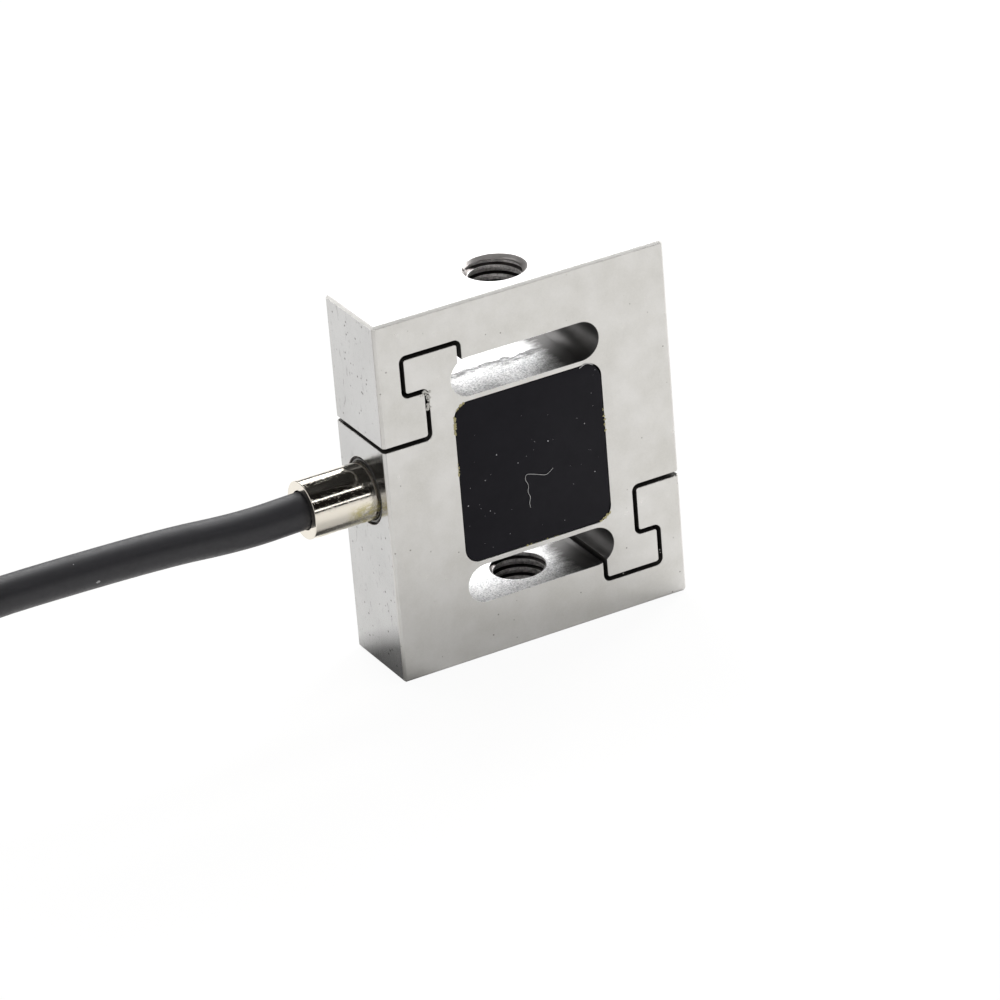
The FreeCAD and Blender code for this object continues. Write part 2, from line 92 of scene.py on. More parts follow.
# Glue smeared on the ferrule, from where it begins to where it is full: near the block (X) and
# below the ferrule's middle (Z), and under it (Z) up to near its end (X)
SMEAR_NEAR, SMEAR_BELOW = (-31.2, -29.2), (31.2, 29.8)
SMEAR_UNDER, SMEAR_END = (27.6, 26.6), (-36.0, -35.0)

# Cable: route out of the ferrule, the hank's turns and the last stretch
CABLE_DIAMETER = 6.0
CABLE_START = ((-19.0, 0.0, 30.5), (-28.0, 0.0, 30.5))
ROUTE_OUT = (
    (-36.5, 0.0, 30.5),
    (-47.0, 0.0, 30.15),
    (-62.0, 0.0, 31.7),
    (-104.0, 1.2, 31.6),
    (-137.0, 21.6, 6.2),
    (-149.5, 24.3, 3.6),
    (-168.0, 24.3, 3.6),
)
ROUTE_TAIL = (
    (-168.0, -24.3, 9.6),
    (-148.0, -24.3, 7.2),
    (-136.0, -20.6, 4.2),
)
NICK, SPECK = (-72.4, -2.8, 30.6), (-75.6, -1.3, 34.3)  # rubbed spots on the jacket
HANK_CENTRE = -198.0
HANK_HALF_RUN = 25.0  # from its middle to the centre of either end loop
HANK_BASE = 3.6
HANK_OUTER, HANK_INNER = 24.0, 18.0  # radii of the end loops' centrelines
HANK_PINCH = 6.7  # drawn in at the waist
HALF_WAIST = 8.0
LOOP_STEPS = (75, 45, 15, -15, -45, -75)
HALF_STEP = math.radians(15)  # half of the angle between two steps
WANDER = 0.22  # how far a turn strays from its place
LAYER = 6.0
# Radius and layer of each turn, in the order in which the cable was wound
TURNS = (
    (HANK_OUTER, 0), (HANK_INNER, 0), (HANK_INNER, 1), (HANK_INNER, 2),
    (HANK_INNER, 3), (HANK_OUTER, 3), (HANK_OUTER, 2), (HANK_OUTER, 1),
)

# Tie round the hank
TIE_THICK, TIE_WIDTH, TIE_CORNER = 0.5, 4.0, 2.2
TIE_TAIL_LENGTH = 15.0
TIE_TAIL_RISE = 1.3  # from the band's top to the tail's
TIE_TWIST = 900

# Bare end of the cable
LEAD_OFFSET = 0.95
LEAD_DIAMETER = 1.3
DRAIN_DIAMETER = 0.8
SLEEVE_BEYOND = 3.5
TIP_LENGTH = 5.0
STRAND_COUNT, STRAND_STEPS = 6, 8
STRAND_THICK = 0.26
STRAND_TURNS = 0.6
LEAD_COLOURS = {
    "red": (0.42, 0.02, 0.015),
    "black": (0.015, 0.015, 0.016),
    "green": (0.02, 0.2, 0.05),
    "white": (0.75, 0.74, 0.7),
}
LEAD_ROUTES = {
    "red": ((-126.9, -19.4, 1.6), (-119.5, -18.9, 0.8), (-111.5, -19.3, 0.7)),
    "black": ((-127.1, -16.4, 1.7), (-120.0, -13.4, 0.8), (-112.2, -9.6, 0.7)),
    "green": ((-127.3, -15.6, 3.4), (-120.9, -10.8, 1.3), (-114.9, -4.6, 0.8)),
    "white": ((-127.0, -20.1, 3.6), (-119.8, -21.8, 1.3), (-112.6, -24.6, 0.8)),
}
# On which side of the cable's axis each lead starts, across and upwards
LEAD_PLACES = {"red": (-1, -1), "black": (1, -1), "green": (1, 1), "white": (-1, 1)}
DRAIN_ROUTE = ((-127.0, -17.9, 2.8), (-119.6, -16.1, 0.8), (-111.0, -15.0, 0.45))

# Traces on and beside the front sheet, and in the slits: how far forward they lie, and X and Z
HAIR_Y, DUST_Y, GLUE_Y, GRIT_Y = -7.82, -7.76, -7.74, -7.7
HAIR = (
    (-1.15, 23.1), (-1.4, 23.9), (-0.95, 24.9), (-1.5, 25.9), (-1.15, 27.0), (-1.75, 28.1),
    (-1.5, 29.0), (-0.7, 28.8), (0.6, 28.3), (1.9, 27.8), (2.6, 28.1), (3.3, 28.6),
)
CURL = ((9.2, 43.95), (10.0, 44.4), (10.9, 44.35), (11.6, 43.85))
SPECKS = (
    (-6.3, 33.8), (2.8, 33.4), (9.4, 34.4), (-8.6, 30.1), (-11.9, 26.7), (-8.2, 24.7),
    (10.6, 25.7), (-2.7, 31.3),
)
FINE_SPECKS = 34
SPECKED_X, SPECKED_Z = (-12, 12), (18, 43)
# Both ends of each run of glue, and how many drops it has
GLUE_RUNS = (
    ((-12.95, 39.2), (-12.95, 42.4), 22), ((-12.6, 43.2), (-11.0, 44.3), 14),
    ((12.9, 17.9), (10.9, 16.85), 14), ((-12.95, 32.2), (-12.95, 34.5), 9),
    ((12.95, 32.0), (12.95, 36.5), 8), ((-3.0, 16.8), (4.0, 16.8), 7),
)
# Packed grit fills the slit's width along a level and an upright run: start and length
PACKED_GRAINS = 34
GRIT_SPREAD = 0.36
LEVEL_RUN, LEVEL_Z = (-18.4, 1.3), 47.75
UPRIGHT_RUN, UPRIGHT_X = (44.6, 3.3), -17.1
LOOSE_GRAINS = ((21.2, 8.1, 0.1), (14.3, 6.6, 0.11), (21.1, 8.6, 0.09))  # X, Z and size

# Camera: its aim is off the block's middle by these shares of the distance
AZIMUTH, ELEVATION, ROLL = -27.067, 26.658, -4.825
DISTANCE = 0.93182  # metres
LENS = 215.57
AIM_RIGHT, AIM_DOWN = 0.001514, -0.009175

# Where the lamps and flags along the cable's axis have their middle, in metres
SET_X = 0.45

BLOCK_LOW, BLOCK_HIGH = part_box("spring_element")
CENTRE = (BLOCK_LOW + BLOCK_HIGH) / 2


def mm(x, y, z):
    return Vector((x, y, z)) * MM


# Modelling


def deselect():
    if bpy.context.object and bpy.context.object.mode != "OBJECT":
        bpy.ops.object.mode_set(mode="OBJECT")
    bpy.ops.object.select_all(action="DESELECT")


def choose(*objs):
    deselect()
    for obj in objs:
        obj.select_set(True)
    bpy.context.view_layer.objects.active = objs[0]


def named(name):
    """Names what was added last, and puts its place into its mesh."""
    obj = bpy.context.object
    obj.name = obj.data.name = name
    choose(obj)
    bpy.ops.object.transform_apply(location=True, rotation=True, scale=True)
    return obj


def modify(obj, kind, **settings):
    choose(obj)
    modifier = obj.modifiers.new(kind, kind)
    for key, value in settings.items():
        setattr(modifier, key, value)
    bpy.ops.object.modifier_apply(modifier=modifier.name)


def pick(obj, kind, test):
    """Enters edit mode with the vertices, edges or faces selected that pass the test."""
    choose(obj)
    bpy.ops.object.mode_set(mode="EDIT")
    bpy.ops.mesh.select_mode(type=kind)
    bpy.ops.mesh.select_all(action="DESELECT")
    bpy.ops.object.mode_set(mode="OBJECT")
    mesh = obj.data
    for part in {"VERT": mesh.vertices, "EDGE": mesh.edges, "FACE": mesh.polygons}[kind]:
        part.select = test(part)
    bpy.ops.object.mode_set(mode="EDIT")


def edit_all(obj):
    """Enters edit mode with everything selected."""
    choose(obj)
    bpy.ops.object.mode_set(mode="EDIT")
    bpy.ops.mesh.select_all(action="SELECT")


def leave():
    bpy.ops.object.mode_set(mode="OBJECT")


def tidy_mesh(obj, angle=30):
    """Merges doubles, turns the normals outwards and shades smooth below the angle."""
    edit_all(obj)
    bpy.ops.mesh.remove_doubles(threshold=MERGE)
    bpy.ops.mesh.normals_make_consistent(inside=False)
    leave()
    bpy.ops.object.shade_smooth_by_angle(angle=math.radians(angle))


def join(name, objs):
    choose(*objs)
    if len(objs) > 1:
        bpy.ops.object.join()
    obj = bpy.context.object
    obj.name = obj.data.name = name
    return obj


def copy_of(node, name):
    """A merged copy of a CAD node, to be worked on."""
    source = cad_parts[node]
    choose(source)
    bpy.ops.object.duplicate()
    obj = bpy.context.object
    obj.parent = None
    for key in [k for k in obj.keys() if k.startswith("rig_")]:
        del obj[key]
    obj.name = obj.data.name = name
    obj.data.materials.clear()
    edit_all(obj)
    bpy.ops.mesh.remove_doubles(threshold=NEAR)
    leave()
    return obj


def cylinder(name, radius, start, end, vertices):
    """A cylinder from start to end, in millimetres."""
    start, end = mm(*start), mm(*end)
    along = end - start
    bpy.ops.mesh.primitive_cylinder_add(
        vertices=vertices, radius=radius * MM, depth=along.length,
        location=(start + end) / 2, rotation=along.to_track_quat("Z", "Y").to_euler())
    return named(name)


def curve(name, points, diameter, resolution=8, sides=6):
    """A smooth round curve with these control points, in millimetres."""
    data = bpy.data.curves.new(name, "CURVE")
    data.dimensions = "3D"
    spline = data.splines.new("NURBS")
    spline.points.add(len(points) - 1)
    for control, point in zip(spline.points, points):
        control.co = (*mm(*point), 1)
    spline.order_u = 3
    spline.use_endpoint_u = True
    spline.resolution_u = resolution
    data.bevel_depth = diameter / 2 * MM
    data.bevel_resolution = sides
    data.use_fill_caps = True
    obj = bpy.data.objects.new(name, data)
    bpy.context.scene.collection.objects.link(obj)
    return obj


def to_mesh(obj):
    choose(obj)
    bpy.ops.object.convert(target="MESH")
    tidy_mesh(bpy.context.object)
    return bpy.context.object


def place(obj, slot, *nodes, material=None):
    """Rides the piece on the load cell, in place of these CAD nodes. The slot is not used."""
    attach(obj, "root")
    if nodes:
        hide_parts(*nodes)
    if material:
        obj.data.materials.clear()
        obj.data.materials.append(material)
    return obj


# Materials


class Finish:
    """A material with its Principled shader and short ways to add nodes before it."""

    def __init__(self, name, colour=(0.5, 0.5, 0.5), **values):
        self.material = bpy.data.materials.new(name)
        self.material.use_nodes = True
        self.tree = self.material.node_tree
        self.shader = self.tree.nodes["Principled BSDF"]
        self.set("Base Color", (*colour, 1))
        for key, value in values.items():
            self.set(key.replace("_", " ").title().replace("Ior", "IOR"), value)
        self.coords = self.tree.nodes.new("ShaderNodeTexCoord").outputs["Object"]
        self.height = None

    def set(self, socket, value):
        self.shader.inputs[socket].default_value = value

    def link(self, output, target, socket):
        self.tree.links.new(output, target.inputs[socket])

    def node(self, kind, inputs=None, **settings):
        node = self.tree.nodes.new(kind)
        for key, value in settings.items():
            setattr(node, key, value)
        for key, value in (inputs or {}).items():
            if hasattr(value, "is_output"):
                self.tree.links.new(value, node.inputs[key])
            else:
                node.inputs[key].default_value = value
        return node

    def scaled(self, size, turn=(0, 0, 0)):
        """Object coordinates with one unit for each size, in millimetres."""
        inputs = {"Vector": self.coords, "Scale": [1 / (s * MM) for s in size], "Rotation": turn}
        return self.node("ShaderNodeMapping", inputs).outputs["Vector"]

    def noise(self, size, detail=3.0, roughness=0.55, turn=(0, 0, 0)):
        """A cloudy pattern of this grain, from 0 to 1."""
        size = size if isinstance(size, tuple) else (size,) * 3
        inputs = {"Vector": self.scaled(size, turn), "Scale": 1.0}
        inputs.update({"Detail": detail, "Roughness": roughness})
        return self.node("ShaderNodeTexNoise", inputs).outputs["Fac"]

    def cells(self, size):
        """How far the nearest of scattered points is."""
        inputs = {"Vector": self.scaled((size,) * 3), "Scale": 1.0}
        return self.node("ShaderNodeTexVoronoi", inputs).outputs["Distance"]

    def axes(self):
        """How far along X, Y and Z the surface is, in metres."""
        return self.node("ShaderNodeSeparateXYZ", {"Vector": self.coords}).outputs

    def spread(self, value, low, high, to_low=0.0, to_high=1.0):
        """The value's range from low to high, spread over another range and held there."""
        inputs = {"Value": value, "From Min": low, "From Max": high}
        inputs.update({"To Min": to_low, "To Max": to_high})
        return self.node("ShaderNodeMapRange", inputs).outputs["Result"]

    def ramp(self, value, span, full=1.0):
        """Rises from 0 to full over a span in millimetres."""
        return self.spread(value, span[0] * MM, span[1] * MM, 0.0, full)

    def blend(self, factor, first, second):
        """Mixes two colours, each a colour or a socket."""
        mix = self.node("ShaderNodeMix", data_type="RGBA")
        for index, value in ((0, factor), (6, first), (7, second)):
            if hasattr(value, "is_output"):
                self.tree.links.new(value, mix.inputs[index])
            elif index:
                mix.inputs[index].default_value = (*value, 1)
            else:
                mix.inputs[index].default_value = value
        return mix.outputs[2]

    def maths(self, operation, first, second=0.0, third=0.0):
        node = self.node("ShaderNodeMath", operation=operation)
        for index, value in enumerate((first, second, third)):
            if hasattr(value, "is_output"):
                self.tree.links.new(value, node.inputs[index])
            else:
                node.inputs[index].default_value = value
        return node.outputs[0]

    def times(self, first, second):
        return self.maths("MULTIPLY", first, second)

    def inverse(self, value):
        return self.maths("SUBTRACT", 1.0, value)

    def dots(self, spacing, radius):
        """Scattered round dots: 1 on a dot and 0 between. Only some of the places have one."""
        near = self.cells(spacing)
        chosen = self.spread(self.noise(spacing * 2.6, 2.0), 0.5, 0.54)
        return self.times(self.spread(near, radius / spacing, 0.6 * radius / spacing), chosen)

    def spot(self, middle, radius, ragged):
        """1 round a place, fading out at the radius, with an uneven rim. Millimetres."""
        inputs = {0: self.coords, 1: mm(*middle)}
        reach = self.node("ShaderNodeVectorMath", inputs, operation="DISTANCE").outputs["Value"]
        reach = self.maths("MULTIPLY_ADD", self.noise(radius, 3.0, 0.7), ragged * MM, reach)
        return self.spread(reach, (radius + ragged / 2) * MM, (0.6 * radius + ragged / 2) * MM)

    def colour(self, output):
        """Takes the base colour from this output."""
        self.link(output, self.shader, "Base Color")

    def roughness(self, output):
        self.link(output, self.shader, "Roughness")

    def bump(self, height, depth, strength=1.0):
        """Adds a bump of that depth in millimetres."""
        inputs = {"Height": height, "Distance": depth * MM, "Strength": strength}
        if self.height:
            inputs["Normal"] = self.height
        self.height = self.node("ShaderNodeBump", inputs).outputs["Normal"]
        self.link(self.height, self.shader, "Normal")


def ground_steel():
    """Satin ground stainless steel, slightly mottled, with specks and a few slanting scratches."""
    steel = Finish("ground_steel", metallic=1.0)
    patches = steel.spread(steel.noise(7.0, 5.0, 0.6), 0.35, 0.7)
    warm = steel.blend(patches, (0.60, 0.593, 0.58), (0.515, 0.507, 0.483))
    grain = steel.spread(steel.noise(0.35, 4.0, 0.7), 0.3, 0.7)
    grained = steel.blend(steel.times(grain, 0.22), warm, (0.70, 0.69, 0.68))
    specks = steel.times(steel.dots(2.0, 0.17), 0.7)
    steel.colour(steel.blend(specks, grained, (0.12, 0.11, 0.1)))
    steel.roughness(steel.spread(steel.noise(1.6, 6.0, 0.7), 0.3, 0.7, 0.27, 0.4))
    steel.bump(steel.noise(0.25, 5.0, 0.7), 0.006, 0.4)
    scratch = steel.spread(steel.noise((9.0, 9.0, 0.12), 2.0, 0.5, turn=(0, 0.5, 0)), 0.72, 0.76)
    steel.bump(scratch, 0.01, 0.5)
    return steel.material


def broken_edge():
    """Chamfers rubbed bright and matt with emery."""
    edge = Finish("broken_edges", metallic=1.0, roughness=0.75)
    edge.colour(edge.blend(edge.noise(0.8, 5.0, 0.7), (0.96, 0.95, 0.93), (0.78, 0.77, 0.75)))
    edge.bump(edge.noise(0.12, 4.0, 0.7), 0.01, 0.5)
    return edge.material


def side_steel():
    """Ground sides, top and underside, smoother than the front. All but the top are specked and
    smudged."""
    steel = Finish("ground_steel_sides", metallic=1.0)
    patches = steel.spread(steel.noise(9.0, 4.0, 0.6), 0.35, 0.7)
    clean = steel.blend(patches, (0.465, 0.465, 0.467), (0.42, 0.42, 0.422))
    smudges = steel.spread(steel.noise((0.6, 0.6, 2.4), 5.0, 0.7, turn=(0.5, 0.2, 0)), 0.6, 0.68, 0, 0.55)
    dirt = steel.maths("MAXIMUM", steel.dots(1.2, 0.22), smudges)
    below_top = steel.ramp(steel.axes()["Z"], (TOP - 0.2, TOP - 0.6))
    dirt = steel.times(dirt, below_top)
    steel.colour(steel.blend(steel.times(dirt, 0.85), clean, (0.07, 0.065, 0.06)))
    steel.roughness(steel.spread(steel.noise(1.2, 6.0, 0.7), 0.3, 0.7, 0.14, 0.26))
    steel.bump(steel.noise((4.0, 4.0, 0.08), 2.0, 0.5), 0.001, 0.4)
    steel.bump(steel.noise(0.3, 5.0, 0.7), 0.004, 0.35)
    return steel.material


def milled_steel():
    """Walls of the windows: beaded in front with painted glints, smooth behind a scraped line, and
    smooth towards the right end, where painted shade darkens them."""
    steel = Finish("milled_steel", metallic=1.0)
    at = steel.axes()
    ragged = steel.noise((2.5, 1.2, 1.2), 4.0, 0.6)
    x = steel.maths("MULTIPLY_ADD", ragged, 4 * MM, at["X"])
    y = steel.maths("MULTIPLY_ADD", ragged, 5 * MM, at["Y"])
    # The right end of the walls is painted dark as shade, and made smooth.
    right = steel.ramp(x, WALL_PAINTED_SHADE)
    upper = steel.ramp(at["Z"], WALL_UPPER)
    behind = steel.times(steel.ramp(y, WALL_SMOOTH), upper)
    line = steel.times(steel.ramp(y, WALL_SCRAPED), upper)
    line = steel.times(line, steel.inverse(behind))
    smooth = steel.maths("MAXIMUM", right, steel.times(behind, 0.85))
    beads = steel.inverse(steel.cells(0.42))
    # Painted glints: specks of the walls' colour lifted up to white.
    painted_glints = steel.spread(steel.noise(0.3, 5.0, 0.75), 0.4, 0.56)
    bright = steel.blend(painted_glints, (0.5, 0.5, 0.51), (1.0, 1.0, 1.0))
    bright = steel.blend(behind, bright, (0.9, 0.9, 0.9))
    scraped = steel.blend(steel.times(line, 0.9), bright, (0.13, 0.13, 0.13))
    # Painted shade: the dark colour of the walls' right end.
    painted_wall_shade = steel.blend(steel.noise(2.0, 5.0, 0.6), (0.15, 0.147, 0.145), (0.1, 0.097, 0.095))
    steel.colour(steel.blend(right, scraped, painted_wall_shade))
    steel.roughness(steel.spread(smooth, 0, 1, 0.4, 0.46))
    rough = steel.inverse(smooth)
    steel.bump(steel.times(beads, rough), 0.07, 0.8)
    steel.bump(steel.times(steel.noise(0.8, 6.0, 0.75), rough), 0.09, 0.8)
    steel.bump(steel.noise(0.5, 5.0, 0.7), 0.015, 0.6)
    return steel.material


def eroded_steel():
    """Dark matt walls that the cutting wire left in the slits."""
    steel = Finish("eroded_steel", metallic=0.6, roughness=0.65)
    steel.colour(steel.blend(steel.noise(0.6), (0.03, 0.028, 0.026), (0.08, 0.075, 0.07)))
    steel.bump(steel.noise(0.1, 4.0), 0.02, 0.6)
    return steel.material


def turned_steel():
    """Threads and bores: crests and roots painted bright as highlight lines, and painted dark as shade
    between.
    """
    steel = Finish("turned_steel", metallic=1.0)
    at = steel.axes()
    squares = [steel.maths("POWER", steel.maths("ABSOLUTE", at[axis]), 2.0) for axis in "XY"]
    from_axis = steel.maths("SQRT", steel.maths("ADD", *squares))
    # Painted highlights: the crests and roots are coloured bright as lines of light.
    painted_crest_highlight = steel.ramp(from_axis, (CREST_RADIUS, CREST_RADIUS - HIGHLIGHT_FADE))
    root = steel.ramp(from_axis, (ROOT_RADIUS, ROOT_RADIUS + HIGHLIGHT_FADE))
    rubbed = steel.maths("MAXIMUM", painted_crest_highlight, root)
    patchy_painted_highlights = steel.times(rubbed, steel.spread(steel.noise(0.7, 5.0, 0.7), 0.3, 0.6, 0.35, 1.0))
    # Painted shade: the dark colour between the crests and roots.
    painted_thread_shade = steel.blend(steel.noise(1.5, 4.0), (0.1, 0.09, 0.086), (0.045, 0.04, 0.038))
    steel.colour(steel.blend(patchy_painted_highlights, painted_thread_shade, (0.93, 0.91, 0.9)))
    steel.roughness(steel.spread(patchy_painted_highlights, 0, 1, 0.3, 0.6))
    return steel.material


def countersunk_steel():
    """Countersinks and the entry's recess: matt, as the tool left them."""
    steel = Finish("countersunk_steel", metallic=1.0, roughness=0.42)
    steel.colour(steel.blend(steel.noise(0.8, 4.0), (0.5, 0.48, 0.47), (0.36, 0.34, 0.33)))
    steel.bump(steel.noise((0.1, 0.1, 2.0), 3.0, 0.6), 0.008, 0.5)
    return steel.material


def nickel():
    """Bright nickel plating, specked and a little wavy, with glue smeared on it by the block."""
    plate = Finish("bright_nickel", metallic=1.0)
    at = plate.axes()
    smear = plate.spread(plate.noise((1.9, 1.9, 1.1), 5.0, 0.65), 0.4, 0.54)
    upper = plate.times(plate.ramp(at["X"], SMEAR_NEAR), plate.ramp(at["Z"], SMEAR_BELOW))
    lower = plate.times(plate.ramp(at["Z"], SMEAR_UNDER), plate.ramp(at["X"], SMEAR_END, 0.8))
    where = plate.maths("MAXIMUM", upper, lower)
    stains = plate.times(where, smear)
    green = plate.blend(plate.noise(0.9, 3.0), (0.60, 0.50, 0.2), (0.42, 0.41, 0.22))
    plate.colour(plate.blend(plate.times(stains, 0.85), (0.69, 0.65, 0.58), green))
    specks = plate.spread(plate.noise(0.24, 4.0, 0.65), 0.56, 0.68)
    matt = plate.times(stains, 0.34)
    plate.roughness(plate.maths("ADD", plate.spread(specks, 0, 1, 0.08, 0.2), matt))
    plate.bump(plate.noise((5.0, 1.2, 1.2), 3.0), 0.014, 0.5)
    plate.bump(specks, 0.008, 0.5)
    plate.bump(plate.noise(0.5, 4.0, 0.6), 0.008, 0.6)
    return plate.material


def black_sheet():
    """Matt black sheet, finely pitted and a little wavy."""
    sheet = Finish("black_sheet", roughness=0.7, specular_ior_level=0.16)
    cloud = sheet.spread(sheet.noise(5.0, 6.0, 0.7), 0.3, 0.7)
    sheet.colour(sheet.blend(cloud, (0.0055, 0.005, 0.008), (0.0085, 0.008, 0.0115)))
    sheet.bump(sheet.noise(0.18, 5.0, 0.7), 0.01, 0.5)
    sheet.bump(sheet.noise(2.5, 3.0), 0.02, 0.3)
    return sheet.material


def cable_jacket():
    """Black PVC with a soft sheen, fine pitting, faint drawing lines and two rubbed spots."""
    jacket = Finish("cable_jacket", specular_ior_level=0.5)
    black = jacket.blend(jacket.noise(2.2, 6.0, 0.7), (0.0065, 0.006, 0.0085), (0.014, 0.0135, 0.018))
    nicks = jacket.maths("MAXIMUM", jacket.spot(NICK, 0.45, 0.5), jacket.spot(SPECK, 0.22, 0.2))
    jacket.colour(jacket.blend(nicks, black, (0.55, 0.55, 0.56)))
    jacket.roughness(jacket.spread(jacket.noise(0.9, 5.0, 0.7), 0.3, 0.7, 0.38, 0.56))
    jacket.bump(jacket.noise(0.35, 5.0, 0.7), 0.02, 0.5)
    jacket.bump(jacket.noise((9.0, 0.5, 0.5), 3.0), 0.03, 0.35)
    return jacket.material


def plain_plastic(name, colour, roughness=0.4):
    plastic = Finish(name, roughness=roughness)
    darker = tuple(c * 0.82 for c in colour)
    plastic.colour(plastic.blend(plastic.noise(0.9, 4.0), colour, darker))
    plastic.bump(plastic.noise(0.2, 4.0), 0.008, 0.4)
    return plastic.material


def plain_metal(name, colour, roughness=0.3):
    metal = Finish(name, metallic=1.0)
    darker = tuple(c * 0.8 for c in colour)
    metal.colour(metal.blend(metal.noise(0.5, 4.0), colour, darker))
    metal.roughness(metal.spread(metal.noise(0.3, 4.0), 0.3, 0.7, roughness * 0.8, roughness * 1.3))
    metal.bump(metal.noise(0.12, 4.0), 0.006, 0.4)
    return metal.material


def amber_glue():
    glue = Finish("amber_glue", roughness=0.3, transmission_weight=0.35, ior=1.5)
    glue.colour(glue.blend(glue.noise(0.5, 4.0), (0.42, 0.36, 0.12), (0.6, 0.55, 0.3)))
    glue.bump(glue.noise(0.3, 4.0), 0.04, 0.6)
    return glue.material


# Camera


def make_camera():
    turn = Euler((math.radians(90 - ELEVATION), 0, math.radians(AZIMUTH))).to_matrix()
    turn = turn @ Matrix.Rotation(math.radians(ROLL), 3, "Z")
    right, up, back = turn.col[0], turn.col[1], turn.col[2]
    position = CENTRE + DISTANCE * (back + AIM_DOWN * up - AIM_RIGHT * right)
    data = bpy.data.cameras.new("camera")
    data.lens = LENS
    data.sensor_width = 36.0
    data.clip_start, data.clip_end = 0.01, 50.0
    camera = bpy.data.objects.new("camera", data)
    camera.matrix_world = Matrix.Translation(position) @ turn.to_4x4()
    bpy.context.scene.collection.objects.link(camera)
    bpy.context.scene.camera = camera


# Cable


def hank_turns():
    """Control points of the wound turns, from the first on the floor to the last."""
    draw = random.Random(7)

    def wander():
        return draw.uniform(-WANDER, WANDER)

    points = []
    for number, (radius, layer) in enumerate(TURNS):
        z = HANK_BASE + layer * LAYER
        hull = radius / math.cos(HALF_STEP)
        waist = radius - HANK_PINCH
        points += [(x, waist + wander(), z) for x in (HALF_WAIST, -HALF_WAIST)]
        for step in LOOP_STEPS:
            a = math.radians(step)
            x = -HANK_HALF_RUN - hull * math.cos(a)
            points.append((x + wander(), hull * math.sin(a) + wander(), z))
        points += [(x, -waist + wander(), z) for x in (-HALF_WAIST, HALF_WAIST)]
        if number == len(TURNS) - 1:
            break
        next_radius, next_layer = TURNS[number + 1]
        for count, step in enumerate(reversed(LOOP_STEPS)):
            a = math.radians(step)
            share = (count + 0.5) / len(LOOP_STEPS)
            ease = share * share * (3 - 2 * share)
            hull = (radius + (next_radius - radius) * ease) / math.cos(HALF_STEP)
            rise = (HANK_BASE + next_layer * LAYER - z) * ease
            points.append((HANK_HALF_RUN + hull * math.cos(a), hull * math.sin(a), z + rise))
    return [(x + HANK_CENTRE, y, z) for x, y, z in points]


def make_cable(jacket):
    """The cable's jacket as a tube, and the points down its middle, in metres."""
    points = [*CABLE_START, *ROUTE_OUT, *hank_turns(), *ROUTE_TAIL]
    cable = curve("signal_cable_jacket", points, CABLE_DIAMETER, resolution=10, sides=10)
    cable.data.bevel_depth = 0
    line = bpy.data.meshes.new_from_object(cable)
    path = [v.co.copy() for v in line.vertices]
    bpy.data.meshes.remove(line)
    cable.data.bevel_depth = CABLE_DIAMETER / 2 * MM
    cable = to_mesh(cable)
    return place(cable, "cable_jacket", "signal_cable", "cable_hank", "cable_tail", material=jacket), path


def make_tie(plastic):
    """Flat twist tie round the waist of the hank, with its ends twisted together."""
    low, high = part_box("hank_tie")
    mid_y = (low.y + high.y) / 2
    height = high.z - TIE_TAIL_RISE * MM - low.z
    width = high.y - low.y
    bpy.ops.mesh.primitive_plane_add(
        size=1, location=(HANK_CENTRE * MM, mid_y, low.z + height / 2), rotation=(0, math.pi / 2, 0))
    bpy.context.object.scale = (height - TIE_THICK * MM, width - TIE_THICK * MM, 1)
    band = named("tie_band")
    pick(band, "VERT", lambda v: True)
    bpy.ops.mesh.bevel(offset=TIE_CORNER * MM, segments=6, affect="VERTICES")
    bpy.ops.mesh.delete(type="ONLY_FACE")
    bpy.ops.mesh.select_all(action="SELECT")
    bpy.ops.mesh.extrude_region_move(TRANSFORM_OT_translate={"value": (TIE_WIDTH * MM, 0, 0)})
    bpy.ops.mesh.select_all(action="SELECT")
    bpy.ops.transform.translate(value=(-TIE_WIDTH / 2 * MM, 0, 0))
    bpy.ops.mesh.normals_make_consistent(inside=False)
    leave()
    modify(band, "SOLIDIFY", thickness=0.45 * MM, offset=0.0)
    modify(band, "BEVEL", width=0.12 * MM, segments=2)
    bpy.ops.mesh.primitive_grid_add(x_subdivisions=60, y_subdivisions=2, size=1, location=(0, 0, 0))
    tail = bpy.context.object
    tail.scale = (TIE_TAIL_LENGTH * MM, 1.7 * MM, 1)
    tail = named("tie_tail")
    modify(tail, "SOLIDIFY", thickness=0.7 * MM, offset=0.0)
    modify(
        tail, "SIMPLE_DEFORM", deform_method="TWIST", deform_axis="X", angle=math.radians(TIE_TWIST))
    tail.location = ((HANK_CENTRE + TIE_TAIL_LENGTH / 2) * MM, -TIE_TAIL_LENGTH * MM, high.z - 0.9 * MM)
    choose(tail)
    bpy.ops.object.transform_apply(location=True)
    tie = join("hank_tie_band", [band, tail])
    tidy_mesh(tie)
    return place(tie, "tie_plastic", "hank_tie", material=plastic)


def tail_frame():
    """The jacket's end, the direction there, and two directions across it, in millimetres."""
    end, before = Vector(ROUTE_TAIL[-1]), Vector(ROUTE_TAIL[-2])
    along = (end - before).normalized()
    across = Vector((0, 0, 1)).cross(along).normalized()
    return end, along, across, along.cross(across)


